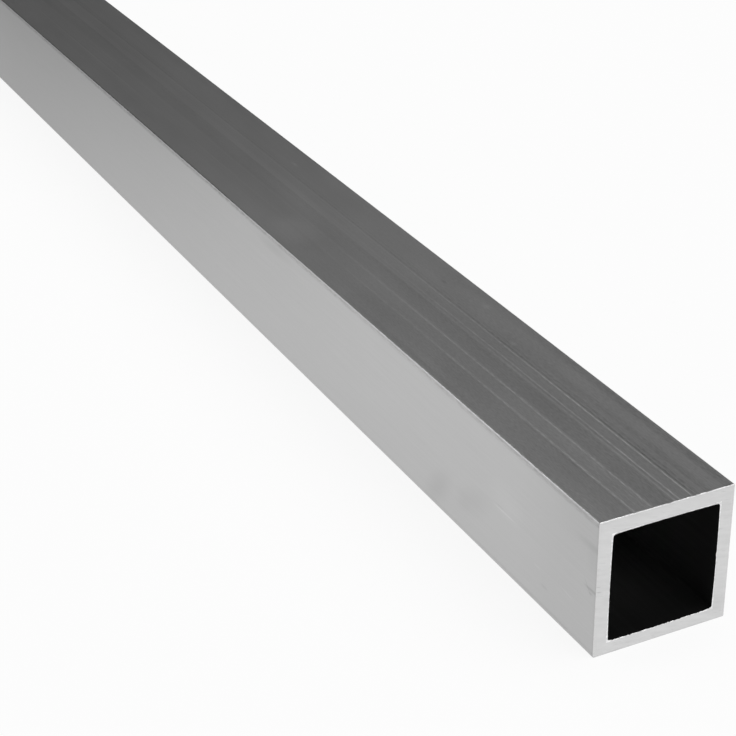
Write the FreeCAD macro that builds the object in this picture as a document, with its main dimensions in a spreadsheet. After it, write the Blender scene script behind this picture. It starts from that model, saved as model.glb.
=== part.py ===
import FreeCAD, Part
import Sketcher
import math
import os
from enum import IntEnum

# One bar of extruded square aluminium tube, sold by the metre and sawn square at both ends.
# It is a single extrusion: a square outside with crisp, slightly rounded corners, a square
# hollow right through it, and a light bevel round each sawn rim where the burr was taken off.
# The hollow lies a little below the middle of the section, so the top wall is the thickest,
# and its sides bow out slightly, as the die leaves them, so each wall is thinnest halfway.
# The bar lies on one of its four flats. X runs along it, Z is up, and the origin is the
# middle of the flat that it lies on.

# Driving dimensions in millimetres: alias, value, meaning
DIMENSIONS = [
    ("bar_length", 1000.0, "length of the bar from sawn end to sawn end"),
    ("outer_width", 20.0, "outside width and height of the square section"),
    ("wall_thickness", 2.0, "nominal thickness of the four walls, halfway along each"),
    ("hollow_drop", 0.15, "how far the hollow lies below the middle of the section"),
    ("hollow_crown", 0.1, "how far each side of the hollow bows out between its corners"),
    ("outer_radius", 0.2, "rounding of the four outer corners along the bar"),
    ("inner_radius", 0.4, "rounding of the four corners of the hollow along the bar"),
    ("rim_bevel", 0.1, "width of the bevel round the outer and inner rim of each sawn end"),
]

# Sizes of the hollow's outline, in terms of the driving dimensions: its width from side to
# side, the level of its lowest point, half the distance between two neighbouring corners
# before they are rounded, and the radius of its four bowed sides
HOLLOW_WIDTH = "(Sizes.outer_width - 2 * Sizes.wall_thickness)"
HOLLOW_FLOOR = "(Sizes.wall_thickness - Sizes.hollow_drop)"
HALF_CHORD = f"({HOLLOW_WIDTH} / 2 - Sizes.hollow_crown)"
BOW_RADIUS = f"(({HALF_CHORD}^2 + Sizes.hollow_crown^2) / (2 * Sizes.hollow_crown))"

# The directions that the four sides of the section face in a sketch, counterclockwise from
# the lower side. The bar runs along the sketch's own normal.
QUARTER = math.pi / 2
HEADINGS = (-QUARTER, 0, QUARTER, 2 * QUARTER)
ALONG = FreeCAD.Vector(0, 0, 1)

PARTS_FOLDER = "parts"


class Line(IntEnum):
    """Numbers of the lines in a sketch: its own axes, then the sides of a rounded square.

    A rounded square is drawn counterclockwise, each side followed by the corner after it,
    so the corners have the odd numbers. The origin is the start of the sketch's first axis.
    """

    VERTICAL_AXIS = -2
    FIRST_AXIS = -1
    BASE = 0
    RIGHT = 2
    TOP = 4
    LEFT = 6


class Point(IntEnum):
    """Numbers of the points of a line or an arc in a sketch."""

    START = 1
    END = 2
    CENTRE = 3


SIDES = (Line.BASE, Line.RIGHT, Line.TOP, Line.LEFT)
ORIGIN = (Line.FIRST_AXIS, Point.START)


def make_sheet(doc):
    """Puts the driving dimensions into a spreadsheet, each value under its alias."""
    sheet = doc.addObject("Spreadsheet::Sheet", "Sizes")
    for row, (alias, value, meaning) in enumerate(DIMENSIONS, start=1):
        sheet.set(f"A{row}", alias)
        sheet.set(f"B{row}", str(value))
        sheet.set(f"C{row}", meaning)
        sheet.setAlias(f"B{row}", alias)
    doc.recompute()
    return sheet


def origin_plane(body, role):
    """Returns the origin plane of the body that has this role."""
    return next(f for f in body.Origin.OriginFeatures if f.Role == role)


def cross_sketch(body, name):
    """Adds an empty sketch that lies across the bar, in the middle of its length."""
    sketch = body.newObject("Sketcher::SketchObject", name)
    sketch.AttachmentSupport = (origin_plane(body, "YZ_Plane"), [""])
    sketch.MapMode = "FlatFace"
    return sketch


def hold(sketch, *constraint):
    """Adds a constraint that holds the drawn lines in a sketch to one another."""
    sketch.addConstraint(Sketcher.Constraint(*constraint))


def measure(sketch, name, size, *constraint):
    """Adds a constraint whose value is a size: an expression of the driving dimensions."""
    drawn = float(sketch.evalExpression(size))
    sketch.addConstraint(Sketcher.Constraint(*constraint, drawn))
    sketch.renameConstraint(sketch.ConstraintCount - 1, name)
    sketch.setExpression(f"Constraints.{name}", size)


def join_round(sketch, corner_radius):
    """Holds the lines of a rounded square: each tangent to the next, all corners alike."""
    count = len(sketch.Geometry)
    for line in range(count):
        hold(sketch, "Tangent", line, Point.END, (line + 1) % count, Point.START)
    first, *others = range(1, count, 2)
    for corner in others:
        hold(sketch, "Equal", first, corner)
    measure(sketch, "corner_radius", corner_radius, "Radius", first)


def outside_outline(body, name):
    """Sketches the outside: a square with round corners, whose base lies on the origin."""
    sketch = cross_sketch(body, name)
    sizes = ("Sizes.outer_width", "Sizes.outer_radius")
    width, corner = (float(sketch.evalExpression(size)) for size in sizes)

    middle = FreeCAD.Vector(0, width / 2, 0)
    offset = width / 2 - corner
    for heading in HEADINGS:
        outwards = FreeCAD.Vector(math.cos(heading), math.sin(heading), 0)
        onwards = ALONG.cross(outwards)
        halfway = middle + outwards * width / 2
        side = Part.LineSegment(halfway - onwards * offset, halfway + onwards * offset)
        turn = Part.Circle(middle + (outwards + onwards) * offset, ALONG, corner)
        sketch.addGeometry(side, False)
        sketch.addGeometry(Part.ArcOfCircle(turn, heading, heading + QUARTER), False)

    join_round(sketch, "Sizes.outer_radius")
    for side in (Line.BASE, Line.TOP):
        hold(sketch, "Horizontal", side)
    for side in (Line.RIGHT, Line.LEFT):
        hold(sketch, "Vertical", side)
    base, right, top, left = ((side, Point.START) for side in SIDES)
    hold(sketch, "Symmetric", *base, Line.BASE, Point.END, *ORIGIN)
    measure(sketch, "width", "Sizes.outer_width", "DistanceX", *left, *right)
    measure(sketch, "height", "Sizes.outer_width", "DistanceY", *base, *top)
    return sketch


def hollow_outline(body, name):
    """Sketches the hollow: four sides that bow out and four round corners, all arcs.

    The centre of a side lies far beyond the opposite side. The two sides beside a corner
    are alike, so the centre of the corner's own arc is as far sideways from the middle of
    the hollow as it is up or down.
    """
    sketch = cross_sketch(body, name)
    sizes = (HOLLOW_WIDTH, HOLLOW_FLOOR, BOW_RADIUS, "Sizes.inner_radius")
    width, floor, bow, corner = (float(sketch.evalExpression(size)) for size in sizes)

    middle = FreeCAD.Vector(0, floor + width / 2, 0)
    to_centre = bow - width / 2
    offset = (math.sqrt(2 * (bow - corner) ** 2 - to_centre**2) - to_centre) / 2
    half_sweep = math.atan2(offset, offset + to_centre)
    for heading in HEADINGS:
        outwards = FreeCAD.Vector(math.cos(heading), math.sin(heading), 0)
        onwards = ALONG.cross(outwards)
        side = Part.Circle(middle - outwards * to_centre, ALONG, bow)
        turn = Part.Circle(middle + (outwards + onwards) * offset, ALONG, corner)
        begin, end = heading - half_sweep, heading + half_sweep
        sketch.addGeometry(Part.ArcOfCircle(side, begin, end), False)
        sketch.addGeometry(Part.ArcOfCircle(turn, end, begin + QUARTER), False)

    join_round(sketch, "Sizes.inner_radius")
    for side in (Line.RIGHT, Line.TOP, Line.LEFT):
        hold(sketch, "Equal", Line.BASE, side)
    measure(sketch, "bow_radius", BOW_RADIUS, "Radius", Line.BASE)

    base, right, top, left = ((side, Point.CENTRE) for side in SIDES)
    for centre in (base, top):
        hold(sketch, "PointOnObject", *centre, Line.VERTICAL_AXIS)
    hold(sketch, "Symmetric", *left, *right, Line.VERTICAL_AXIS)
    between = f"2 * {BOW_RADIUS} - {HOLLOW_WIDTH}"
    measure(sketch, "width", between, "DistanceX", *right, *left)
    measure(sketch, "height", between, "DistanceY", *top, *base)
    base_level = f"{HOLLOW_FLOOR} + {BOW_RADIUS}"
    measure(sketch, "base_level", base_level, "DistanceY", *ORIGIN, *base)
    mid_level = f"{HOLLOW_FLOOR} + {HOLLOW_WIDTH} / 2"
    measure(sketch, "mid_level", mid_level, "DistanceY", *ORIGIN, *right)
    return sketch


def extrude(body, kind, name, sketch):
    """Pads or pockets a sketch both ways along the bar and returns the feature."""
    feature = body.newObject(f"PartDesign::{kind}", name)
    feature.Profile = sketch
    feature.Midplane = True
    return feature


def sawn_faces(shape):
    """Names the first and the last face along the bar, which are its two sawn ends."""
    places = [face.CenterOfMass.x for face in shape.Faces]
    return [f"Face{places.index(place) + 1}" for place in (min(places), max(places))]


def make_tube(doc, sheet):
    """Builds the bar: the outer form, the hollow cut through it, then the bevelled rims."""
    body = doc.addObject("PartDesign::Body", "square_tube")
    body.Label = "square_tube"

    billet = extrude(body, "Pad", "outside_form", outside_outline(body, "outside_outline"))
    billet.setExpression("Length", "Sizes.bar_length")
    doc.recompute()
    solid_volume = billet.Shape.Volume

    outline = hollow_outline(body, "hollow_outline")
    hollow = extrude(body, "Pocket", "hollow", outline)
    hollow.Type = "ThroughAll"
    doc.recompute()
    removed = solid_volume - hollow.Shape.Volume
    expected = Part.Face(outline.Shape.Wires[0]).Area * sheet.bar_length
    if abs(removed - expected) > expected * 1e-6:
        raise RuntimeError(f"the hollow removed {removed:.0f} mm3, not {expected:.0f} mm3")

    rims = body.newObject("PartDesign::Chamfer", "rim_bevels")
    rims.Base = (hollow, sawn_faces(hollow.Shape))
    rims.setExpression("Size", "Sizes.rim_bevel")
    doc.recompute()
    return body


def check(doc, bodies):
    """Stops if anything in the document failed, or a body isn't one valid solid."""
    for item in doc.Objects:
        if {"Invalid", "Error"} & set(item.State):
            raise RuntimeError(f"{item.Label} failed: {item.State}")
    for body in bodies:
        if body.Shape.isNull() or not body.Shape.isValid() or len(body.Shape.Solids) != 1:
            raise RuntimeError(f"{body.Label} isn't one valid solid")


def main():
    doc = FreeCAD.newDocument("square_tube_bar")
    sheet = make_sheet(doc)
    bodies = [make_tube(doc, sheet)]
    doc.recompute()
    check(doc, bodies)

    os.makedirs(PARTS_FOLDER, exist_ok=True)
    for body in bodies:
        body.Shape.exportStep(os.path.join(PARTS_FOLDER, f"{body.Label}.step"))
        box = body.Shape.BoundBox
        print(
            f"{body.Label}: {box.XLength:.2f} x {box.YLength:.2f} x {box.ZLength:.2f} mm, "
            f"{body.Shape.Volume:.1f} mm3, {len(body.Shape.Faces)} faces"
        )


main()
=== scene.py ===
"""Dresses one bar of extruded square aluminium tube for its photograph.

The bar is a single piece of stock, open right through and sawn square at both ends. The
module models it again at full detail: the bowed hollow with its round corners, the die
lines along its flats, the saw marks on its ends and the burr round every sawn rim. It
then gives each part of the surface a finish, with painted light and shade in places, and
adds a floor, lamps and a camera.
"""

import logging
import math
from dataclasses import dataclass
from enum import Enum
from typing import Callable, Iterable

import bmesh
import bpy
from mathutils import Matrix, Vector


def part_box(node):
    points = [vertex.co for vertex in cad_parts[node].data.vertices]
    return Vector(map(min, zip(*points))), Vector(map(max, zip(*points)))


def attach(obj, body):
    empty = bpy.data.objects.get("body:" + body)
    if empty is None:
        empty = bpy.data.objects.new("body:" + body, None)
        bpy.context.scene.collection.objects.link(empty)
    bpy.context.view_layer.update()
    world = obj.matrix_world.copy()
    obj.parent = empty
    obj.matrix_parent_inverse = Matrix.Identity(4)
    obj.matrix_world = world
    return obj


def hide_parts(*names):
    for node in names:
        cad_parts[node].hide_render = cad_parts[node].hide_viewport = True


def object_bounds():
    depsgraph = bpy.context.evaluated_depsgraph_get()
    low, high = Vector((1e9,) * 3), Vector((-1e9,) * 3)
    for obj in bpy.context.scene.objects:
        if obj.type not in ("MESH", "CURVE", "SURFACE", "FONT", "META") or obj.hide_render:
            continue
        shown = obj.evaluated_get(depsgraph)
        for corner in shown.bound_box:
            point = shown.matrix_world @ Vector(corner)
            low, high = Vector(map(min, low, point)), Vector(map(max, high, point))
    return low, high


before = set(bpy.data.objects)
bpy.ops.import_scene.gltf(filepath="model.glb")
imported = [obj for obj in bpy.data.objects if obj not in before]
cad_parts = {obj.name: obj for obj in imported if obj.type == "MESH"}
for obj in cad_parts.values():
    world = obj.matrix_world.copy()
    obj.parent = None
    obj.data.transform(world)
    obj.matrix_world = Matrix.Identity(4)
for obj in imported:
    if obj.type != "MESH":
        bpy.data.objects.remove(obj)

CAD_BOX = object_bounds()
LOG = logging.getLogger("square_tube")
MM = 0.001

# How far a point may lie beside the place that it is picked by, and beside a cut through it
SLACK = 0.01 * MM
FINE_SLACK = 0.001 * MM
CUT_SLACK = 0.002 * MM

# How closely a face has to point a way, as the cosine of the angle between the two
ROUGHLY = 0.9
CLOSELY = 0.99
EXACTLY = 0.999

# The angle past which two faces meet in a sharp edge
SHARP = math.radians(60)

# How far the saw's cuts are turned about the bar's length
SAW_ANGLE = math.radians(-12)

Part = bmesh.types.BMVert | bmesh.types.BMEdge | bmesh.types.BMFace
Shares = dict[int, float]
Signal = bpy.types.NodeSocket | float | tuple


class Zone(Enum):
    """Parts of the bar's surface that each have a finish of their own."""

    MILL = 0
    SAWN = 1
    BURR = 2
    BORE = 3


class Flat(Enum):
    """The four outer flats, each with the direction it faces and the one across it."""

    TOP = (Vector((0, 0, 1)), Vector((0, 1, 0)))
    LEFT = (Vector((0, -1, 0)), Vector((0, 0, 1)))
    BOTTOM = (Vector((0, 0, -1)), Vector((0, 1, 0)))
    RIGHT = (Vector((0, 1, 0)), Vector((0, 0, 1)))

    @property
    def facing(self) -> Vector:
        """The direction that the flat faces."""
        return self.value[0]

    @property
    def across(self) -> Vector:
        """The direction in which places across the flat are measured."""
        return self.value[1]


def fade(value: float, start: float, end: float) -> float:
    """Rises smoothly from 0 at the start to 1 at the end."""
    share = min(1.0, max(0.0, (value - start) / (end - start)))
    return share * share * (3 - 2 * share)


@dataclass(frozen=True)
class DieLine:
    """One straight line or band along a flat, with sizes in millimetres: most are left by the die,
    and a few are painted shade beside the outer corners.

    Attributes:
        flat: The flat that it runs along.
        place: Where its middle lies across the flat, from the flat's own middle.
        half: Half the width of its level part.
        edge: The width of each of its two slopes.
        depth: How deep it is.
        shine: How much lighter than the metal beside it near a sawn end; below 0 is darker.
        far_shine: The same in the middle of the bar.
        end: How far from a sawn end it has changed from the one to the other.
        start: How far from a sawn end that change begins.
    """

    flat: Flat
    place: float
    half: float
    edge: float
    depth: float
    shine: float
    far_shine: float = 0.0
    end: float = 78.0
    start: float = 0.0

    def rows(self) -> list[float]:
        """Lists where the line's slopes begin and end across its flat, in metres."""
        offsets = {-self.half - self.edge, -self.half, self.half, self.half + self.edge}
        return [(self.place + offset) * MM for offset in sorted(offsets)]

    def share(self, across: float) -> float:
        """Says how much of the line a point has, from 0 beside it to 1 in its middle."""
        beside = abs(across / MM - self.place) - self.half
        return min(1.0, max(0.0, 1 - beside / self.edge))

    def strength(self, across: float, distance: float) -> float:
        """Says how light the line is at one point.

        Args:
            across: Where the point lies across the flat, in metres from its middle.
            distance: How far it is from the nearer sawn end, in metres.

        Returns:
            The line's shine there, which is 0 beside the line.
        """
        far = fade(distance, self.start * MM, self.end * MM)
        return self.share(across) * (self.shine + (self.far_shine - self.shine) * far)


@dataclass(frozen=True)
class Mark:
    """One speck, smudge or scratch on the bar, with sizes in millimetres.

    Attributes:
        place: Its middle: the distance from the front end, then across and up.
        size: Half its length along each axis, before it is turned.
        shine: How much lighter than the metal beside it; below 0 is darker.
        turn: How far it is turned about each axis, in degrees.
        core: The share of its size that is as strong as its middle.
    """

    place: tuple[float, float, float]
    size: tuple[float, float, float]
    shine: float
    turn: tuple[float, float, float] = (0, 0, 0)
    core: float = 0.0


class Bench:
    """The working end of edit mode: selects parts of the mesh in hand and cuts them."""

    @staticmethod
    def begin(obj: bpy.types.Object) -> None:
        """Takes an object into edit mode with nothing else selected."""
        Bench.take(obj)
        bpy.ops.object.mode_set(mode="EDIT")

    @staticmethod
    def take(obj: bpy.types.Object) -> None:
        """Selects one object alone and makes it the active one.

        Args:
            obj: The object that the next operators act on.
        """
        bpy.ops.object.select_all(action="DESELECT")
        obj.select_set(True)
        bpy.context.view_layer.objects.active = obj

    @staticmethod
    def end() -> None:
        """Leaves edit mode."""
        bpy.ops.object.mode_set(mode="OBJECT")

    @staticmethod
    def pick(kind: str, test: Callable[[Part], bool]) -> None:
        """Selects the parts that pass a test and nothing else.

        Args:
            kind: What to select: VERT, EDGE or FACE.
            test: Says of a part whether it is wanted.
        """
        bpy.ops.mesh.select_mode(type=kind)
        bpy.ops.mesh.select_all(action="DESELECT")
        mesh = bmesh.from_edit_mesh(bpy.context.object.data)
        mesh.normal_update()
        parts = {"VERT": mesh.verts, "EDGE": mesh.edges, "FACE": mesh.faces}[kind]
        wanted = [part for part in parts if not part.hide and test(part)]
        for part in wanted:
            part.select_set(True)
        mesh.select_flush_mode()
        bmesh.update_edit_mesh(bpy.context.object.data)

    @staticmethod
    def cut(place: Vector, normal: Vector) -> None:
        """Cuts the selected faces along a plane, and takes nothing away.

        Args:
            place: A point on the plane.
            normal: The way that the plane faces.
        """
        bpy.ops.mesh.bisect(
            plane_co=place, plane_no=normal, threshold=CUT_SLACK,
            clear_inner=False, clear_outer=False,
        )

    @staticmethod
    def cut_all(places: Iterable[Vector], normal: Vector) -> None:
        """Cuts all that shows in edit mode along several parallel planes.

        Args:
            places: A point on each plane.
            normal: The way that the planes face.
        """
        for place in places:
            bpy.ops.mesh.select_all(action="SELECT")
            Bench.cut(place, normal)

    @staticmethod
    def shift(step: Vector) -> None:
        """Moves what is selected by a step."""
        bpy.ops.transform.translate(value=step)


@dataclass
class Relief:
    """Shallow relief that is pressed into chosen points of a mesh.

    Attributes:
        name: What the relief is called.
        cell: The size of one bump along each axis.
        layers: How many finer layers lie over the first.
        turn: How far the pattern is turned about the bar's length, in radians.
    """

    name: str
    cell: Vector
    layers: int
    turn: float = 0.0

    def press(self, bar: bpy.types.Object, shares: Shares, axis: str, height: float,
              level: float = 0.0) -> None:
        """Moves points along one axis by a soft random pattern.

        Args:
            bar: The object to work on.
            shares: How much of the relief each point takes, by its number.
            axis: The axis along which the points move.
            height: How far the highest part of the pattern moves, in metres.
            level: The part of the pattern's range that doesn't move.
        """
        texture = bpy.data.textures.new(self.name, type="CLOUDS")
        texture.noise_scale = 1.0
        texture.noise_depth = self.layers
        guide = bpy.data.objects.new(self.name, None)
        guide.scale = self.cell
        guide.rotation_euler = (self.turn, 0, 0)
        bpy.context.collection.objects.link(guide)
        bpy.context.view_layer.update()

        def lay_pattern(modifier: bpy.types.DisplaceModifier) -> None:
            """Gives the modifier its pattern.

            Args:
                modifier: The modifier that moves the points.
            """
            modifier.texture = texture
            modifier.texture_coords = "OBJECT"
            modifier.texture_coords_object = guide
            modifier.mid_level = level

        self.push(bar, shares, axis, height, lay_pattern)
        bpy.data.objects.remove(guide)
        bpy.data.textures.remove(texture)

    @staticmethod
    def push(bar: bpy.types.Object, shares: Shares, axis: str, height: float,
             lay_pattern: Callable[[bpy.types.DisplaceModifier], None] | None = None) -> None:
        """Moves points along one axis, each by its share of a height.

        Args:
            bar: The object to work on.
            shares: The share of each point, by its number.
            axis: The axis along which the points move.
            height: How far a point with a share of 1 moves, in metres.
            lay_pattern: Gives the modifier its pattern, where it has one.
        """
        Bench.take(bar)
        group = bar.vertex_groups.new(name="relief")
        for index, share in shares.items():
            group.add([index], share, "REPLACE")
        modifier = bar.modifiers.new("relief", "DISPLACE")
        modifier.vertex_group = group.name
        modifier.direction = axis
        modifier.mid_level = 0.0
        modifier.strength = height
        if lay_pattern:
            lay_pattern(modifier)
        bpy.ops.object.modifier_apply(modifier=modifier.name)
        bar.vertex_groups.clear()


@dataclass
class SquareTube:
    """The bar itself, one closed mesh from sawn end to sawn end, with sizes in metres.

    Attributes:
        low: Lowest corner of the bar.
        high: Highest corner of the bar.
        die_lines: The lines along its flats.
        wall: Thickness of the walls, halfway along each.
        hollow_drop: How far the hollow lies below the middle of the section.
        crown: How far each side of the hollow bows out between its corners.
        outer_radius: Rounding of the four outer corners.
        hollow_radius: Rounding of the four corners of the hollow.
        corner_steps: How many faces each rounding has.
        bow_steps: How many faces each bowed side of the hollow has.
        rim_bevel: Width of the bevel round the outer rim of each sawn end.
        mouth_bevel: The same round the hollow.
        burr_width: Width of the level lip inside each rim.
        burr_slope: Width of the slope between that lip and the sawn face.
        burr_height: How far the lip stands above the sawn face.
        painted_highlight_lip: How much of the lip's width along the upper rim takes the bright
            burr finish, as a painted highlight.
        grid: Size of one square of the fine grid near the sawn ends.
        fine_zone: How far from the sawn ends that grid reaches.
        deepest: The depth of a die line that a share of 1 stands for.
        rough_depth: How far from a sawn end its roughness reaches along the bar.
        rim_reach: How far beside its rims their raggedness reaches.
        rim_fade: How far beside the hollow's rims that begins and ends to fade.
        wander: How far the ragged rims wander along the bar, sideways, and up or down.
        calm_share: How ragged the hollow's other rims are, as a share of the lowest one.
        face_depth: How far below the plane of a sawn end its face may lie.
        saw_depth: How deep the saw marks are.
        saw_fade: How far from the hollow they come to that depth.
        nick_depth: How deep the nick in the right-hand rim of the hollow is.
        nick_place: How far it lies above the middle of the bar.
        nick_half: Half its height.
        painted_glint: How much lighter a rounded outer corner is near a sawn end, as a painted
            highlight.
        far_painted_glint: The same in the middle of the bar; below 0 is darker, as painted shade.
        glint_fade: How far from a sawn end the one begins and ends to turn into the other.
        glint_lean: Above 1, the glint lies nearer to the upper or lower flat.
        glint_power: The greater, the narrower the glint.
        grit_fade: How far from a sawn end the grit on the flats begins and ends to fade.
    """

    low: Vector
    high: Vector
    die_lines: tuple[DieLine, ...]
    wall: float = 2.0 * MM
    hollow_drop: float = 0.15 * MM
    crown: float = 0.1 * MM
    outer_radius: float = 0.2 * MM
    hollow_radius: float = 0.4 * MM
    corner_steps: int = 6
    bow_steps: int = 16
    rim_bevel: float = 0.06 * MM
    mouth_bevel: float = 0.04 * MM
    burr_width: float = 0.06 * MM
    burr_slope: float = 0.04 * MM
    burr_height: float = 0.02 * MM
    painted_highlight_lip: float = 0.7
    grid: float = 0.125 * MM
    fine_zone: float = 2.2 * MM
    deepest: float = 0.05 * MM
    rough_depth: float = 0.4 * MM
    rim_reach: float = 0.3 * MM
    rim_fade: tuple[float, float] = (0.1 * MM, 0.35 * MM)
    wander: tuple[float, float, float] = (0.04 * MM, 0.16 * MM, 0.3 * MM)
    calm_share: float = 0.3
    face_depth: float = 0.05 * MM
    saw_depth: float = 0.02 * MM
    saw_fade: float = 0.5 * MM
    nick_depth: float = 0.09 * MM
    nick_place: float = 0.1 * MM
    nick_half: float = 0.25 * MM
    painted_glint: float = 2.8
    far_painted_glint: float = -2.2
    glint_fade: tuple[float, float] = (22.5 * MM, 127.5 * MM)
    glint_lean: float = 1.2
    glint_power: int = 3
    grit_fade: tuple[float, float] = (30 * MM, 130 * MM)

    @property
    def middle(self) -> Vector:
        """The middle of the bar."""
        return (self.low + self.high) / 2

    @property
    def hollow_middle(self) -> Vector:
        """The middle of the hollow."""
        return self.middle - Vector((0, 0, self.hollow_drop))

    @property
    def half(self) -> float:
        """Half the width of the square section."""
        return (self.high.z - self.low.z) / 2

    @property
    def half_length(self) -> float:
        """Half the length of the bar."""
        return (self.high.x - self.low.x) / 2

    def build(self) -> bpy.types.Object:
        """Models the bar.

        Returns:
            The finished mesh object, with its place in its mesh.
        """
        bar = self.rough_out()
        Bench.begin(bar)
        self.open_hollow()
        self.round_corners()
        self.break_rims()
        self.raise_burr()
        self.rule_flats()
        self.cut_stations()
        self.cut_fine_grid()
        Bench.end()
        self.mark_zones(bar)
        self.note_tones(bar)
        self.press_die_lines(bar)
        self.roughen_ends(bar)
        self.smooth(bar)
        return bar

    def dress(self, bar: bpy.types.Object) -> None:
        """Gives the bar its finishes, and its place among the parts of the frame.

        Args:
            bar: The bar's mesh object.
        """
        finishes = {
            Zone.MILL: MillFinish(MILL_MARKS),
            Zone.SAWN: SawnFinish(SAWN_MARKS),
            Zone.BURR: BurrFinish(),
            Zone.BORE: BoreFinish(),
        }
        for zone in Zone:
            bar.data.materials.append(finishes[zone].make())
        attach(bar, "root")
        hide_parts("square_tube")

    def rough_out(self) -> bpy.types.Object:
        """Adds the solid bar that everything else is cut from.

        Returns:
            The bar's mesh object.
        """
        bpy.ops.object.select_all(action="DESELECT")
        bpy.ops.mesh.primitive_cube_add(size=1.0, location=self.middle)
        bar = bpy.context.object
        bar.name = bar.data.name = "tube_bar"
        bar.scale = self.high - self.low
        bpy.ops.object.transform_apply(location=True, rotation=True, scale=True)
        return bar

    def on_end(self, point: Vector) -> bool:
        """Says whether a point lies on either sawn end."""
        return min(point.x - self.low.x, self.high.x - point.x) < SLACK

    def on_flat(self, place: Vector, side: Flat, slack: float) -> bool:
        """Says whether a point lies on an outer flat, or less than the slack below it."""
        return (place - self.middle).dot(side.facing) > self.half - slack

    def open_hollow(self) -> None:
        """Insets both ends, joins the insets into a square hollow and bows its sides."""
        Bench.pick("FACE", lambda face: abs(face.normal.x) > ROUGHLY)
        bpy.ops.mesh.inset(thickness=self.wall + self.crown, use_even_offset=True)
        Bench.shift(Vector((0, 0, -self.hollow_drop)))
        bpy.ops.mesh.bridge_edge_loops()
        for side in Flat:
            self.bow_side(side)

    def bow_side(self, side: Flat) -> None:
        """Divides one side of the hollow lengthwise and bows it outwards.

        Args:
            side: The side of the hollow, by the way the bar's wall there faces.
        """
        facing, across = side.facing, side.across
        chord = self.half - self.wall - self.crown
        shares = [2 * step / self.bow_steps - 1 for step in range(1, self.bow_steps)]
        for share in shares:
            Bench.pick("FACE", lambda face: face.normal.dot(facing) < -ROUGHLY)
            Bench.cut(self.hollow_middle + across * share * chord, across)
        for share in shares:

            def on_row(vert: bmesh.types.BMVert) -> bool:
                """Says whether a point is to be moved now.

                Args:
                    vert: The point.

                Returns:
                    Whether it lies on this row of this side.
                """
                span = vert.co - self.hollow_middle
                beside = span.dot(across) - share * chord
                return abs(span.dot(facing) - chord) < SLACK and abs(beside) < SLACK

            Bench.pick("VERT", on_row)
            Bench.shift(facing * self.crown * (1 - share**2))

    def round_corners(self) -> None:
        """Rounds the four outer corners and the four corners of the hollow."""
        border = self.half - self.wall / 2

        def is_corner(edge: bmesh.types.BMEdge, outer: bool) -> bool:
            """Picks out the sharp corners that run along the bar.

            Args:
                edge: The edge in question.
                outer: True for the outer corners and False for those of the hollow.

            Returns:
                Whether the edge is one of them.
            """
            first, last = (vert.co for vert in edge.verts)
            lengthwise = abs((first - last).x) > self.half_length
            sharp = edge.calc_face_angle() > SHARP
            return lengthwise and sharp and (abs(first.y) > border) == outer

        for outer, radius in ((True, self.outer_radius), (False, self.hollow_radius)):
            Bench.pick("EDGE", lambda edge: is_corner(edge, outer))
            bpy.ops.mesh.bevel(offset=radius, segments=self.corner_steps, affect="EDGES")

    def break_rims(self) -> None:
        """Bevels the rims of both sawn ends, the outer ones more than the inner ones."""
        border = self.half - self.wall / 2

        def on_rim(edge: bmesh.types.BMEdge, outer: bool) -> bool:
            """Picks out the rims of the sawn ends.

            Args:
                edge: The edge in question.
                outer: True for the outer rims and False for those of the hollow.

            Returns:
                Whether the edge belongs to them.
            """
            place = (edge.verts[0].co + edge.verts[1].co) / 2
            span = place - self.middle
            is_outer = max(abs(span.y), abs(span.z)) > border
            sharp = edge.calc_face_angle() > SHARP
            return self.on_end(place) and sharp and is_outer == outer

        for outer, width in ((True, self.rim_bevel), (False, self.mouth_bevel)):
            Bench.pick("EDGE", lambda edge: on_rim(edge, outer))
            bpy.ops.mesh.bevel(offset=width, segments=2, affect="EDGES")

    def raise_burr(self) -> None:
        """Leaves a narrow lip along each rim and sinks the sawn face between them."""
        Bench.pick(
            "FACE",
            lambda face: abs(face.normal.x) > EXACTLY and self.on_end(face.calc_center_median()),
        )
        bpy.ops.mesh.inset(thickness=self.burr_width, use_even_offset=True)
        bpy.ops.mesh.inset(
            thickness=self.burr_slope, depth=-self.burr_height, use_even_offset=True
        )

    def rule_flats(self) -> None:
        """Divides each flat lengthwise where the slopes of its die lines begin and end."""
        for line in self.die_lines:
            facing, across = line.flat.facing, line.flat.across
            for row in line.rows():
                Bench.pick(
                    "FACE",
                    lambda face: face.normal.dot(facing) > CLOSELY
                    and self.on_flat(face.calc_center_median(), line.flat, SLACK),
                )
                Bench.cut(self.middle + across * row, across)

    def press_die_lines(self, bar: bpy.types.Object) -> None:
        """Presses the die lines into the flats as shallow grooves from end to end.

        Args:
            bar: The bar's mesh object.
        """
        for side in Flat:
            lines = [line for line in self.die_lines if line.flat is side]
            shares = {}
            for vert in bar.data.vertices:
                if self.on_flat(vert.co, side, FINE_SLACK):
                    place = (vert.co - self.middle).dot(side.across)
                    depth = sum(line.share(place) * line.depth for line in lines) * MM
                    shares[vert.index] = depth / self.deepest
            axis = "Z" if side.facing.z else "Y"
            Relief.push(bar, shares, axis, -self.deepest * (side.facing.y + side.facing.z))

    def stations(self) -> list[float]:
        """Lists how far from a sawn end the bar is cut across, close together near the end.

        Returns:
            The distances in metres.
        """
        close = [0.2, 0.35, 0.6, 1.0, 1.6, 2.2]
        wide = [4, 6.5, 10, 14, 19, 25, 32, 40, 50, 62, 76, 92, 110, 130, 152, 176, 202]
        wide += [230, 260, 292, 326, 362, 400, 440, 480]
        return [place * MM for place in close + wide]

    def cut_stations(self) -> None:
        """Cuts the whole bar across at every station from both ends."""
        places = [self.high.x - place for place in self.stations()]
        places += [self.low.x + place for place in self.stations()]
        Bench.cut_all((Vector((place, 0, 0)) for place in places), Vector((1, 0, 0)))

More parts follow.
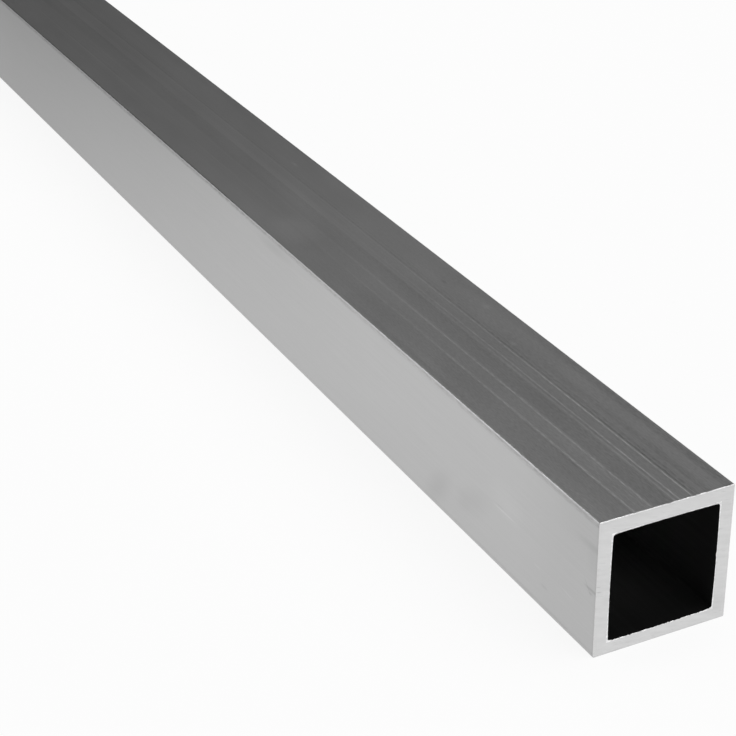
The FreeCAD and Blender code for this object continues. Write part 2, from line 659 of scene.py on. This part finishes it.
    def cut_fine_grid(self) -> None:
        """Divides the first millimetres of both ends into a fine grid."""
        border = self.high.x - self.fine_zone
        Bench.pick("FACE", lambda face: abs(face.calc_center_median().x) > border)
        bpy.ops.mesh.hide(unselected=True)
        count = int((self.half - self.outer_radius) / self.grid)
        for across in (Flat.TOP.across, Flat.LEFT.across):
            steps = (step * self.grid for step in range(-count, count + 1))
            Bench.cut_all((self.middle + across * step for step in steps), across)
        bpy.ops.mesh.reveal(select=False)

    def mark_zones(self, bar: bpy.types.Object) -> None:
        """Gives every face the number of the zone that it belongs to.

        Args:
            bar: The bar's mesh object.
        """
        mouth = self.half - self.wall + self.mouth_bevel + self.burr_width
        painted_highlight_rim = self.half - self.rim_bevel - self.painted_highlight_lip * self.burr_width
        for face in bar.data.polygons:
            span = face.center - self.hollow_middle
            depth = self.half_length - abs(span.x)
            if max(abs(span.y), abs(span.z)) < mouth:
                zone = Zone.BURR if depth < self.mouth_bevel else Zone.BORE
            elif depth > self.rim_bevel:
                zone = Zone.MILL
            else:
                # Along the upper rim the bright burr finish is a painted highlight
                on_top = face.center.z - self.middle.z > painted_highlight_rim
                zone = Zone.BURR if on_top else Zone.SAWN
            face.material_index = zone.value

    def roughen_ends(self, bar: bpy.types.Object) -> None:
        """Gives both sawn ends their saw marks, ragged rims and one nick each.

        Args:
            bar: The bar's mesh object.
        """
        ragged = Relief("ragged_rim", Vector((1, 0.45, 0.45)) * MM, 2)
        marks = Relief("saw_marks", Vector((1, 3, 0.3)) * MM, 2, SAW_ANGLE)
        along, sideways, upright = self.wander
        for sign in (1, -1):
            saw, upright_rim, level_rim, outer_rim, nick = self.end_shares(bar, sign)
            marks.press(bar, saw, "X", -sign * self.saw_depth)
            ragged.press(bar, upright_rim, "Y", sideways, 0.5)
            ragged.press(bar, level_rim, "Z", upright, 0.5)
            ragged.press(bar, outer_rim, "X", -sign * along)
            Relief.push(bar, nick, "Y", -self.nick_depth)

    def end_shares(self, bar: bpy.types.Object, sign: int) -> tuple[Shares, ...]:
        """Says how much of each kind of roughness the points of one sawn end take.

        Args:
            bar: The bar's mesh object.
            sign: 1 for the front end and -1 for the back end.

        Returns:
            The shares of the points in the saw marks, in the upright and the level rims of
            the hollow, in the outer rim, and in the nick of the hollow's rim.
        """
        mouth = self.half - self.wall
        full, none = self.rim_fade
        saw, upright_rim, level_rim, outer_rim, nick = {}, {}, {}, {}, {}
        for vert in bar.data.vertices:
            depth = self.half_length - sign * vert.co.x
            if depth > self.rough_depth:
                continue
            out = vert.co - self.middle
            span = vert.co - self.hollow_middle
            inwards = max(abs(span.y), abs(span.z)) - mouth
            fading = 1 - depth / self.rough_depth
            if depth < self.face_depth:
                saw[vert.index] = min(1.0, max(0.0, inwards / self.saw_fade))
            if inwards < self.rim_reach:
                near = fading * min(1.0, (none - inwards) / (none - full))
                if abs(span.z) > abs(span.y):
                    lowest = span.z < -mouth + self.rim_reach
                    level_rim[vert.index] = near * (1.0 if lowest else self.calm_share)
                else:
                    upright_rim[vert.index] = near * self.calm_share
                    gap = (out.z - self.nick_place) / self.nick_half
                    if span.y > 0:
                        nick[vert.index] = near * math.exp(-gap * gap)
            if max(abs(out.y), abs(out.z)) > self.half - self.rim_reach:
                outer_rim[vert.index] = fading
        return saw, upright_rim, level_rim, outer_rim, nick

    def note_tones(self, bar: bpy.types.Object) -> None:
        """Writes each point's die lines and painted corner glint, its painted light and shade
        along the bar, and how gritty it is, for the mill finish.

        Args:
            bar: The bar's mesh object.
        """
        shine = bar.data.attributes.new("die_lines_and_painted_light", "FLOAT", "POINT")
        painted_drift = bar.data.attributes.new("painted_light_drift", "FLOAT", "POINT")
        grit = bar.data.attributes.new("flat_grit", "FLOAT", "POINT")
        for vert in bar.data.vertices:
            span = vert.co - self.middle
            distance = self.half_length - abs(span.x)
            # Die lines, with painted highlight and shade along the rounded outer corners
            shine.data[vert.index].value = self.lines_and_painted_light_at(span, distance)
            # Painted light and shade along the bar
            painted_drift.data[vert.index].value = self.painted_drift_at(span, distance)
            grit.data[vert.index].value = self.upness(span) * (1 - fade(distance, *self.grit_fade))

    def upness(self, span: Vector) -> float:
        """Says which way a point of the outside faces.

        Args:
            span: The way from the middle of the bar to the point.

        Returns:
            0 on the sides, 1 on the upper and lower flats, and between them at the corners.
        """
        centre = self.half - self.outer_radius
        rise = max(0.0, abs(span.z) - centre)
        reach = max(0.0, abs(span.y) - centre)
        return math.atan2(rise, reach) / (math.pi / 2)

    def lines_and_painted_light_at(self, span: Vector, distance: float) -> float:
        """Says how much lighter than plain metal a point is for its die lines, or for the painted
        highlight and shade along a rounded outer corner.

        Args:
            span: The way from the middle of the bar to the point.
            distance: How far the point is from the nearer sawn end.

        Returns:
            The shine, where 0 is plain metal.
        """
        upness = self.upness(span)
        # Painted highlight along each rounded outer corner near the sawn ends, turning to painted
        # shade in the middle of the bar
        if 0 < upness < 1:
            painted_glint = self.painted_glint + (self.far_painted_glint - self.painted_glint) * fade(distance, *self.glint_fade)
            return painted_glint * math.sin(math.pi * upness**self.glint_lean) ** self.glint_power
        return sum(
            line.strength(span.dot(line.flat.across), distance)
            for line in self.die_lines
            if span.dot(line.flat.facing) > self.half - FINE_SLACK
        )

    def painted_drift_at(self, span: Vector, distance: float) -> float:
        """Says how much painted light and shade the metal takes at a point, drifting along the
        bar.

        Args:
            span: The way from the middle of the bar to the point.
            distance: How far the point is from the nearer sawn end.

        Returns:
            The share by which the metal is lighter there.
        """
        away = distance / MM
        height = (span.z + self.half) / (2 * self.half)
        near_end = 1 - fade(away, 5, 22)

        # Painted shade: a side is darker near the sawn end, and again farther off, the more so
        # higher up
        side = -0.01 - (0.035 + 0.035 * height) * near_end
        side -= 0.02 * (0.5 + height) * fade(away, 60, 90)
        side -= 0.20 * height * fade(away, 50, 190)
        side -= 0.06 * fade(away, 175, 225)

        # Painted light and shade: an upper or lower flat is darker near the sawn end, and lightest
        # a little further on
        flat = 0.04 - 0.07 * near_end
        flat += 0.08 * fade(away, 22, 90) * (1 - fade(away, 100, 140))

        # Both are darker along the very rim
        rim = -0.07 * (1 - fade(away, 0, 0.7))
        return side + (flat - side) * self.upness(span) + rim

    def smooth(self, bar: bpy.types.Object) -> None:
        """Shades the bar smooth apart from its sharp edges."""
        Bench.take(bar)
        bpy.ops.object.shade_smooth_by_angle(angle=math.radians(40))


class Recipe:
    """The node graph of one material, built up node by node."""

    def __init__(self, name: str) -> None:
        """Starts an empty material that reads the bar's own coordinates.

        Args:
            name: The material's name.
        """
        self.material = bpy.data.materials.new(name)
        self.material.use_nodes = True
        self.tree = self.material.node_tree
        self.tree.nodes.clear()
        self.place = self.node("ShaderNodeTexCoord").outputs["Object"]

    def node(self, kind: str, **settings: object) -> bpy.types.Node:
        """Adds a node.

        Args:
            kind: The node's type.
            settings: Properties of the node and their values.

        Returns:
            The new node.
        """
        node = self.tree.nodes.new(kind)
        for name, value in settings.items():
            setattr(node, name, value)
        return node

    def feed(self, socket: bpy.types.NodeSocket, signal: Signal) -> None:
        """Links a signal to a socket, or sets the socket where it is a plain value.

        Args:
            socket: The socket that takes the signal.
            signal: Another node's output, or a value.
        """
        if isinstance(signal, bpy.types.NodeSocket):
            self.tree.links.new(signal, socket)
        else:
            socket.default_value = signal

    def noise(self, cell: tuple[float, float, float], detail: float = 2.0,
              turn: tuple[float, float, float] = (0, 0, 0), seed: float = 0.0) -> Signal:
        """Adds soft noise.

        Args:
            cell: Size of one cell of the noise along each axis, in millimetres.
            detail: How many finer layers lie over the first.
            turn: How far the noise is turned about each axis, in radians.
            seed: Picks one pattern among many.

        Returns:
            A signal from 0 to 1.
        """
        mapping = self.node("ShaderNodeMapping", vector_type="TEXTURE")
        self.feed(mapping.inputs["Vector"], self.place)
        mapping.inputs["Scale"].default_value = [size * MM for size in cell]
        mapping.inputs["Rotation"].default_value = turn
        noise = self.node("ShaderNodeTexNoise", noise_dimensions="4D")
        self.feed(noise.inputs["Vector"], mapping.outputs["Vector"])
        noise.inputs["W"].default_value = seed
        noise.inputs["Scale"].default_value = 1.0
        noise.inputs["Detail"].default_value = detail
        return noise.outputs["Fac"]

    def spread(self, signal: Signal, low: float, high: float, to_low: float = 0.0,
               to_high: float = 1.0) -> Signal:
        """Maps one range of a signal smoothly onto another, clamped at both ends.

        Args:
            signal: The signal.
            low: The value that becomes the first end of the new range.
            high: The value that becomes its other end.
            to_low: The first end of the new range.
            to_high: The other end of the new range.

        Returns:
            The signal in its new range.
        """
        ranges = self.node("ShaderNodeMapRange", interpolation_type="SMOOTHSTEP")
        for name, value in (("Value", signal), ("From Min", low), ("From Max", high),
                            ("To Min", to_low), ("To Max", to_high)):
            self.feed(ranges.inputs[name], value)
        return ranges.outputs["Result"]

    def maths(self, operation: str, *values: Signal) -> Signal:
        """Combines signals with one operation.

        Args:
            operation: The operation, by the maths node's own name for it.
            values: The signals and plain values that it combines.

        Returns:
            The result.
        """
        node = self.node("ShaderNodeMath", operation=operation)
        for socket, value in zip(node.inputs, values):
            self.feed(socket, value)
        return node.outputs["Value"]

    def total(self, base: Signal, *parts: tuple[Signal, Signal]) -> Signal:
        """Adds weighted signals to a base value.

        Args:
            base: The value that the signals are added to.
            parts: Each signal with its weight.

        Returns:
            The sum.
        """
        result = base
        for signal, weight in parts:
            result = self.maths("MULTIPLY_ADD", signal, weight, result)
        return result

    def grey(self, tone: Signal) -> Signal:
        """Turns a tone into a neutral grey.

        Args:
            tone: How light the grey is.

        Returns:
            The colour.
        """
        colour = self.node("ShaderNodeCombineColor")
        for channel in ("Red", "Green", "Blue"):
            self.feed(colour.inputs[channel], tone)
        return colour.outputs["Color"]

    def axis(self, name: str) -> Signal:
        """Reads one of the bar's own coordinates.

        Args:
            name: X along the bar, Y across it or Z up.

        Returns:
            The coordinate in metres.
        """
        split = self.node("ShaderNodeSeparateXYZ")
        self.feed(split.inputs["Vector"], self.place)
        return split.outputs[name]

    def attribute(self, name: str) -> Signal:
        """Reads a number that the mesh carries at each of its points."""
        return self.node("ShaderNodeAttribute", attribute_name=name).outputs["Fac"]

    def mark(self, mark: Mark) -> Signal:
        """Adds one mark on the bar.

        Args:
            mark: The mark, placed from the front end.

        Returns:
            A signal that is 1 in the mark's middle and 0 beside it.
        """
        along, across, up = mark.place
        place = (CAD_BOX[1][0] - along * MM, across * MM, up * MM)
        mapping = self.node("ShaderNodeMapping", vector_type="TEXTURE")
        self.feed(mapping.inputs["Vector"], self.place)
        mapping.inputs["Location"].default_value = place
        mapping.inputs["Rotation"].default_value = [math.radians(turn) for turn in mark.turn]
        mapping.inputs["Scale"].default_value = [size * MM for size in mark.size]
        length = self.node("ShaderNodeVectorMath", operation="LENGTH")
        self.feed(length.inputs[0], mapping.outputs["Vector"])
        return self.spread(length.outputs["Value"], mark.core, 1.0, 1.0, 0.0)

    def marks(self, marks: tuple[Mark, ...], weight: float) -> list[tuple[Signal, float]]:
        """Adds several marks, each with its shine times a weight, as parts of a total."""
        return [(self.mark(mark), mark.shine * weight) for mark in marks]

    def bump(self, height: Signal, rise: float, under: Signal | None = None) -> Signal:
        """Turns a height into a bumped normal.

        Args:
            height: The height, from 0 to 1.
            rise: How high a height of 1 stands, in millimetres.
            under: The normal of a bump that this one lies over.

        Returns:
            The bumped normal.
        """
        bump = self.node("ShaderNodeBump")
        self.feed(bump.inputs["Height"], height)
        bump.inputs["Distance"].default_value = rise * MM
        bump.inputs["Strength"].default_value = 1.0
        if under is not None:
            self.feed(bump.inputs["Normal"], under)
        return bump.outputs["Normal"]

    def metal(self, tone: Signal, roughness: Signal, normal: Signal) -> None:
        """Finishes the graph as bare metal.

        Args:
            tone: How light the metal is.
            roughness: How rough it is.
            normal: The bumped normal of its surface.
        """
        shader = self.node("ShaderNodeBsdfPrincipled")
        shader.inputs["Metallic"].default_value = 1.0
        self.feed(shader.inputs["Base Color"], self.grey(tone))
        self.feed(shader.inputs["Roughness"], roughness)
        self.feed(shader.inputs["Normal"], normal)
        output = self.node("ShaderNodeOutputMaterial")
        self.feed(output.inputs["Surface"], shader.outputs["BSDF"])


@dataclass(frozen=True)
class MillFinish:
    """Bare extruded aluminium: dull, faintly streaked along the bar, with die lines, and with
    painted light and shade along its corners and its length.

    Attributes:
        marks: The specks, smudges and scratches on it.
        name: The material's name.
        tone: How light it is.
        roughness: How rough it is.
        painted_shade_middle: How light the middle of the bar is, as a share of its ends, as
            painted shade.
        line_weight: How much a shine of 1 lightens it.
    """

    marks: tuple[Mark, ...]
    name: str = "mill_aluminium"
    tone: float = 0.54
    roughness: float = 0.45
    painted_shade_middle: float = 0.75
    line_weight: float = 0.15

    def make(self) -> bpy.types.Material:
        """Builds the material.

        Returns:
            The finished material.
        """
        recipe = Recipe(self.name)
        streaks = recipe.noise((60, 0.5, 0.5), detail=3)
        bands = recipe.noise((150, 4, 4), seed=2.0)
        clouds = recipe.noise((16, 5, 5), seed=5.0)
        fine = recipe.noise((14, 0.2, 0.2), seed=8.0)
        grain = recipe.noise((4, 0.12, 0.12), seed=7.0)
        specks = recipe.spread(recipe.noise((0.7, 0.35, 0.35), seed=11.0), 0.72, 0.8)
        grit = recipe.total(-0.5, (recipe.noise((0.9, 0.14, 0.14), detail=1, seed=17.0), 1.0))
        grit = recipe.maths("MULTIPLY", grit, recipe.attribute("flat_grit"))

        # The die lines come and go along the bar, over longer and over shorter stretches
        broken = recipe.spread(recipe.noise((7, 0.3, 0.3), seed=4.0), 0.3, 0.6, 0.7)
        dashes = recipe.spread(recipe.noise((1, 0.15, 0.15), seed=13.0), 0.3, 0.7, 0.3, 1.7)
        # The attribute holds the die lines, and the painted highlight and shade along the outer
        # corners
        lines = recipe.maths("MULTIPLY", recipe.attribute("die_lines_and_painted_light"), broken)
        lines = recipe.maths("MULTIPLY", lines, dashes)

        tone = recipe.total(
            self.tone * 0.87, (streaks, 0.04), (bands, 0.02), (clouds, 0.03), (fine, 0.05),
            (specks, -0.05), (grit, 0.24), (lines, self.line_weight),
            *recipe.marks(self.marks, self.line_weight),
        )
        # Painted shade: the middle of the bar is darker than its ends
        along = recipe.maths("ABSOLUTE", recipe.axis("X"))
        tone = recipe.maths("MULTIPLY", tone, recipe.spread(along, 0.25, 0.42, self.painted_shade_middle, 1.0))
        # Painted light and shade along the bar, as the mesh carries it
        tone = recipe.total(tone, (tone, recipe.attribute("painted_light_drift")))
        roughness = recipe.total(
            self.roughness - 0.06, (streaks, 0.05), (bands, 0.03), (clouds, 0.04)
        )
        normal = recipe.bump(grain, 0.0015, under=recipe.bump(streaks, 0.003))
        recipe.metal(tone, roughness, recipe.bump(specks, 0.01, under=normal))
        return recipe.material


@dataclass(frozen=True)
class SawnFinish:
    """Metal as the saw leaves it: light, with fine cuts that all run one way.

    Attributes:
        marks: The deeper scores, specks and smudges on it.
        name: The material's name.
        tone: How light it is.
        roughness: How rough it is.
        cut_angle: How far the cuts are turned about the bar's length.
        mark_weight: How much a mark with a shine of 1 lightens it.
    """

    marks: tuple[Mark, ...]
    name: str = "sawn_aluminium"
    tone: float = 0.71
    roughness: float = 0.42
    cut_angle: float = SAW_ANGLE
    mark_weight: float = 0.15

    def make(self) -> bpy.types.Material:
        """Builds the material.

        Returns:
            The finished material.
        """
        recipe = Recipe(self.name)
        turn = (self.cut_angle, 0, 0)
        cuts = recipe.noise((3, 3, 0.5), turn=turn)
        fine = recipe.noise((3, 0.9, 0.14), turn=turn, seed=3.0)
        scores = recipe.noise((3, 1.6, 0.16), detail=1, turn=turn, seed=6.0)
        scores = recipe.spread(scores, 0.65, 0.76)
        clouds = recipe.noise((5, 4, 4), seed=9.0)
        tone = recipe.total(
            self.tone - 0.115, (cuts, 0.13), (clouds, 0.06), (fine, 0.04), (scores, -0.08),
            *recipe.marks(self.marks, self.mark_weight),
        )
        roughness = recipe.total(self.roughness - 0.03, (fine, 0.06))
        normal = recipe.bump(fine, 0.004, under=recipe.bump(cuts, 0.01))
        recipe.metal(tone, roughness, normal)
        return recipe.material


@dataclass(frozen=True)
class BurrFinish:
    """The bright turned edge that the saw leaves round the hollow, and a painted highlight along
    the upper rim.

    Attributes:
        name: The material's name.
        tone: How light its lightest parts are.
        roughness: How rough it is.
    """

    name: str = "burr_and_painted_rim_highlight"
    tone: float = 1.0
    roughness: float = 0.3

    def make(self) -> bpy.types.Material:
        """Builds the material.

        Returns:
            The finished material.
        """
        recipe = Recipe(self.name)
        ragged = recipe.noise((0.5, 0.5, 0.5))
        tone = recipe.spread(ragged, 0.3, 0.65, self.tone - 0.3, self.tone)
        roughness = recipe.total(self.roughness - 0.05, (ragged, 0.1))
        recipe.metal(tone, roughness, recipe.bump(ragged, 0.01))
        return recipe.material


@dataclass(frozen=True)
class BoreFinish:
    """The inside of the hollow, dull, with painted shade near the sawn ends and on its floor.

    Attributes:
        name: The material's name.
        tone: How light its walls are deep inside.
        mouth_painted_shade: How light it is at the sawn ends, as a share of that, as painted
            shade.
        floor_painted_shade: How light its floor is, as a share of its walls, as painted shade.
        roughness: How rough it is.
    """

    name: str = "bore_with_painted_shade"
    tone: float = 0.72
    mouth_painted_shade: float = 0.05
    floor_painted_shade: float = 0.5
    roughness: float = 0.7

    def make(self) -> bpy.types.Material:
        """Builds the material.

        Returns:
            The finished material.
        """
        recipe = Recipe(self.name)
        streaks = recipe.noise((40, 0.4, 0.4))
        tone = recipe.total(self.tone * 0.7, (streaks, self.tone * 0.6))
        along = recipe.maths("ABSOLUTE", recipe.axis("X"))
        # Painted shade: darker towards the sawn ends and on the floor of the hollow, where light
        # comes in
        inside = recipe.spread(along, 0.465, 0.5, 1.0, self.mouth_painted_shade)
        above = recipe.spread(recipe.axis("Z"), 1.95 * MM, 2.4 * MM, self.floor_painted_shade, 1.0)
        tone = recipe.maths("MULTIPLY", recipe.maths("MULTIPLY", tone, inside), above)
        roughness = recipe.total(self.roughness - 0.05, (streaks, 0.1))
        recipe.metal(tone, roughness, recipe.bump(streaks, 0.003))
        return recipe.material


@dataclass
class Studio:
    """The floor, the lamps and the dim room round them.

    Attributes:
        floor_size: Length of each side of the floor.
        floor_drop: How far the floor lies below the bar.
        floor_tone: How light the floor is.
        floor_glow: How much of what is seen of the floor is plain white.
        room_tone: How light the room is beyond the floor.
    """

    floor_size: float = 60.0
    floor_drop: float = 0.01 * MM
    floor_tone: float = 0.9
    floor_glow: float = 0.88
    room_tone: float = 0.05

    def build(self) -> None:
        """Adds everything that surrounds the bar."""
        self.lay_floor()
        self.fill_room()
        self.hang_lamp("overhead_softbox", Vector((0.3, 0.2, 0.95)), 2.7, 80)
        self.hang_lamp("side_softbox", Vector((-0.6, -0.79, 0.12)), 0.75, 50)

    def lay_floor(self) -> None:
        """Adds a pale floor that shows as white and keeps the bar's shadow."""
        bpy.ops.object.select_all(action="DESELECT")
        bpy.ops.mesh.primitive_plane_add(
            size=self.floor_size, location=(0, 0, -self.floor_drop)
        )
        floor = bpy.context.object
        floor.name = "studio_floor"
        bpy.ops.object.transform_apply(location=True, rotation=True, scale=True)
        recipe = Recipe("studio_floor")
        matt = recipe.node("ShaderNodeBsdfDiffuse")
        matt.inputs["Color"].default_value = (self.floor_tone,) * 3 + (1,)
        glow = recipe.node("ShaderNodeEmission")
        glow.inputs["Color"].default_value = (1, 1, 1, 1)
        glow.inputs["Strength"].default_value = 1.0
        rays = recipe.node("ShaderNodeLightPath").outputs
        seen = recipe.maths("MAXIMUM", rays["Is Camera Ray"], rays["Is Glossy Ray"])
        seen = recipe.maths("MAXIMUM", seen, rays["Is Transmission Ray"])
        mix = recipe.node("ShaderNodeMixShader")
        recipe.feed(mix.inputs[0], recipe.maths("MULTIPLY", seen, self.floor_glow))
        recipe.feed(mix.inputs[1], matt.outputs["BSDF"])
        recipe.feed(mix.inputs[2], glow.outputs["Emission"])
        output = recipe.node("ShaderNodeOutputMaterial")
        recipe.feed(output.inputs["Surface"], mix.outputs["Shader"])
        floor.data.materials.append(recipe.material)

    def fill_room(self) -> None:
        """Makes the room beyond the floor a plain dim grey."""
        world = bpy.data.worlds.new("dim_room")
        world.use_nodes = True
        background = world.node_tree.nodes["Background"]
        background.inputs["Color"].default_value = (self.room_tone,) * 3 + (1,)
        background.inputs["Strength"].default_value = 1.0
        bpy.context.scene.world = world

    def hang_lamp(self, name: str, source: Vector, strength: float, spread: float) -> None:
        """Adds a soft lamp that lights the whole bar alike.

        Args:
            name: The lamp's name.
            source: Where its light comes from, as seen from the bar.
            strength: How much light it throws on a surface that faces it.
            spread: How wide it looks from the bar, in degrees.
        """
        data = bpy.data.lights.new(name, type="SUN")
        data.energy = strength
        data.angle = math.radians(spread)
        lamp = bpy.data.objects.new(name, data)
        lamp.rotation_euler = source.to_track_quat("Z", "Y").to_euler()
        bpy.context.collection.objects.link(lamp)


@dataclass
class Camera:
    """The photographer's place: above one sawn end, looking back along the bar.

    Attributes:
        place: Where the camera stands.
        heading: How far it is turned to the left of the way across the bar.
        dip: How far it looks down.
        roll: How far it is turned about the way that it looks.
        lens: Its focal length in millimetres.
        sensor: The width of its picture inside it, in millimetres.
    """

    place: Vector = Vector((0.669283, -0.125240, 0.148296))
    heading: float = math.radians(63.5752)
    dip: float = math.radians(27.7401)
    roll: float = math.radians(-0.6110)
    lens: float = 96.708
    sensor: float = 36.0

    def build(self) -> None:
        """Adds the camera and makes it the scene's own."""
        data = bpy.data.cameras.new("camera")
        data.lens = self.lens
        data.sensor_width = self.sensor
        data.clip_start = 0.01
        data.clip_end = 100.0
        camera = bpy.data.objects.new("camera", data)
        turns = Matrix.Rotation(self.heading, 4, "Z")
        turns = turns @ Matrix.Rotation(math.pi / 2 - self.dip, 4, "X")
        turns = turns @ Matrix.Rotation(self.roll, 4, "Z")
        camera.matrix_world = Matrix.Translation(self.place) @ turns
        bpy.context.collection.objects.link(camera)
        bpy.context.scene.camera = camera


DIE_LINES = (
    DieLine(Flat.TOP, -9.19, 0.56, 0.19, 0.004, 0.25, end=18),
    DieLine(Flat.TOP, -6.65, 0.30, 0.25, 0.004, -0.12, end=30),
    DieLine(Flat.TOP, -5.28, 0.0, 0.20, 0.004, -0.30, end=68),
    DieLine(Flat.TOP, -4.88, 0.0, 0.28, 0.020, 1.30, 0.12, 102),
    DieLine(Flat.TOP, -3.60, 0.80, 0.25, 0.004, 0.12, end=60),
    DieLine(Flat.TOP, -3.75, 0.0, 0.18, 0.004, 0.28, end=38),
    DieLine(Flat.TOP, -3.10, 0.0, 0.18, 0.004, 0.30, end=52),
    DieLine(Flat.TOP, -2.815, 0.105, 0.18, 0.004, 0.30, end=45),
    DieLine(Flat.TOP, -2.35, 0.0, 0.28, 0.020, 1.50, 0.15, 102),
    DieLine(Flat.TOP, -0.60, 1.30, 0.12, 0.006, -0.26, -0.12, 105),
    DieLine(Flat.TOP, 0.35, 0.35, 0.20, 0.004, -0.10, -0.10, 90),
    DieLine(Flat.TOP, 1.08, 0.0, 0.20, 0.010, 0.88, 0.10, 102),
    DieLine(Flat.TOP, 1.45, 0.0, 0.16, 0.008, -0.50, end=90),
    DieLine(Flat.TOP, 1.74, 0.0, 0.18, 0.015, 1.65, 0.10, 93),
    DieLine(Flat.TOP, 2.35, 0.35, 0.20, 0.004, -0.10, -0.10, 90),
    DieLine(Flat.TOP, 3.20, 0.0, 0.20, 0.006, -0.15, end=45),
    DieLine(Flat.TOP, 3.58, 0.0, 0.20, 0.020, 2.15, 0.25, 102),
    DieLine(Flat.TOP, 4.00, 0.0, 0.26, 0.020, -0.98, -0.45, 90),
    DieLine(Flat.TOP, 4.55, 0.06, 0.26, 0.010, -0.60, -0.15, 75),
    DieLine(Flat.TOP, 5.40, 0.0, 0.18, 0.005, 0.30, end=33),
    DieLine(Flat.TOP, 6.00, 0.30, 0.35, 0.008, -0.45, end=54),
    DieLine(Flat.TOP, 7.30, 0.60, 0.30, 0.004, -0.10, end=24),
    DieLine(Flat.TOP, 9.06, 0.40, 0.40, 0.008, -0.60, end=63),
    # Painted shade along the top of the left side, darker away from the sawn ends
    DieLine(Flat.LEFT, 9.75, 0.05, 0.60, 0.000, 0.00, -0.80, 142, 48),
    # A shallow groove darkened as painted shade just under the upper left corner, beside its
    # painted glint
    DieLine(Flat.LEFT, 9.55, 0.10, 0.50, 0.010, -0.70, -0.50),
    DieLine(Flat.LEFT, -0.30, 0.0, 0.15, 0.004, -0.10, end=30),
    # A shallow groove darkened as painted shade beside the lower left corner's painted glint
    DieLine(Flat.LEFT, -9.40, 0.0, 0.35, 0.008, -0.35, -0.10, 60),
    # A shallow groove darkened as painted shade beside the upper right corner's painted glint
    DieLine(Flat.RIGHT, 9.45, 0.0, 0.55, 0.010, -0.50, -0.50),
    DieLine(Flat.RIGHT, 5.40, 0.0, 0.40, 0.015, 0.55, 0.15),
    DieLine(Flat.RIGHT, 2.10, 1.10, 0.20, 0.006, -0.20, -0.10),
    DieLine(Flat.RIGHT, -1.70, 0.0, 0.30, 0.015, 0.80, 0.20),
    DieLine(Flat.RIGHT, -2.15, 0.0, 0.25, 0.010, -0.50, -0.10),
    DieLine(Flat.RIGHT, -6.30, 0.50, 0.25, 0.006, -0.25, -0.10),
    # A shallow groove darkened as painted shade beside the lower right corner's painted glint
    DieLine(Flat.RIGHT, -9.40, 0.0, 0.35, 0.008, -0.35, -0.10),
    DieLine(Flat.BOTTOM, -8.60, 0.60, 0.30, 0.006, -0.30, -0.10),
    DieLine(Flat.BOTTOM, -5.20, 0.0, 0.40, 0.020, 0.70, 0.15),
    DieLine(Flat.BOTTOM, -1.10, 0.90, 0.20, 0.006, -0.25, -0.10),
    DieLine(Flat.BOTTOM, 1.90, 0.0, 0.30, 0.015, 0.90, 0.20),
    DieLine(Flat.BOTTOM, 2.50, 0.0, 0.25, 0.010, -0.50, -0.10),
    DieLine(Flat.BOTTOM, 6.80, 0.0, 0.45, 0.020, 0.60, 0.15),
)

MILL_MARKS = (
    Mark((1.0, -10, 14.0), (1.8, 1, 3.2), -0.12),
    Mark((3.0, -10, 17.0), (9.0, 1, 3.6), -0.10),
    Mark((0.5, -10, 15.9), (6.0, 1, 0.9), -0.35),
    Mark((1.0, -10, 9.6), (2.4, 1, 0.4), -0.75),
    Mark((1.2, -10, 9.0), (0.7, 1, 0.3), -0.50),
    Mark((6.2, -10, 5.8), (2.2, 1, 0.16), 0.30, (0, 8, 0)),
    Mark((13.8, -10, 5.7), (1.2, 1, 0.16), 0.30),
    Mark((12.0, -10, 3.6), (1.4, 1, 0.4), -0.30),
    Mark((22.4, -10, 9.1), (4.2, 1, 0.18), 0.40, core=0.3),
    Mark((23.8, -10, 9.5), (2.2, 1, 0.14), -0.35),
    Mark((22.0, -10, 11.0), (6.0, 1, 3.6), 0.12),
    Mark((31.0, -10, 6.2), (7.5, 1, 3.2), -0.20, (0, -25, 0)),
    Mark((33.5, -10, 5.2), (2.6, 1, 1.8), -0.08),
    Mark((40.8, -10, 3.4), (7.0, 1, 3.0), -0.28, (0, -42, 0)),
    Mark((2.0, -10, 9.7), (1.9, 1, 0.14), -0.50, (0, 50, 0)),
    Mark((96.0, -10, 18.2), (9.0, 1, 1.5), -0.30),
    Mark((97.5, -5.6, 20), (8.0, 5.5, 1), 0.42, core=0.2),
    Mark((62.0, 7.6, 20), (9.0, 2.0, 1), 0.25, (0, 0, 8)),
    Mark((123.0, 6.2, 20), (1.8, 0.5, 1), 0.60),
    Mark((69.0, 6.2, 20), (1.0, 0.5, 1), -0.60),
    Mark((46.3, 5.0, 20), (1.0, 0.6, 1), 0.50),
    Mark((58.5, 7.6, 20), (1.2, 0.9, 1), 0.50),
)

SAWN_MARKS = (
    Mark((0.0, -9.6, 9.8), (1, 0.70, 0.16), -1.10, (-15, 0, 0)),
    Mark((0.0, -9.7, 10.6), (1, 0.50, 0.14), -0.70, (-15, 0, 0)),
    Mark((0.0, -9.3, 14.0), (1, 0.90, 0.20), -0.35, (-15, 0, 0)),
    Mark((0.0, -9.0, 5.7), (1, 1.60, 0.80), -0.20, (-12, 0, 0)),
    Mark((0.0, 8.9, 18.0), (1, 0.90, 0.12), -0.35, (-8, 0, 0)),
    Mark((0.0, 8.4, 2.6), (1, 2.40, 3.00), -0.35),
    Mark((0.0, -8.2, 3.0), (1, 0.16, 0.16), -0.60),
    Mark((0.0, 2.0, 0.5), (1, 0.40, 0.14), -0.45, (-20, 0, 0)),
    Mark((0.0, -1.0, 0.5), (1, 0.40, 0.14), -0.45, (-20, 0, 0)),
)


def main() -> None:
    """Builds the bar and its surroundings."""
    logging.basicConfig(level=logging.INFO, format="%(name)s: %(message)s")
    bpy.context.scene.view_settings.view_transform = "Standard"
    low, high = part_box("square_tube")
    tube = SquareTube(low, high, DIE_LINES)
    bar = tube.build()
    tube.dress(bar)
    LOG.info("%s: %d faces", bar.name, len(bar.data.polygons))
    Studio().build()
    Camera().build()
    LOG.info("floor, lamps and camera are in place")


if __name__ == "__main__":
    main()
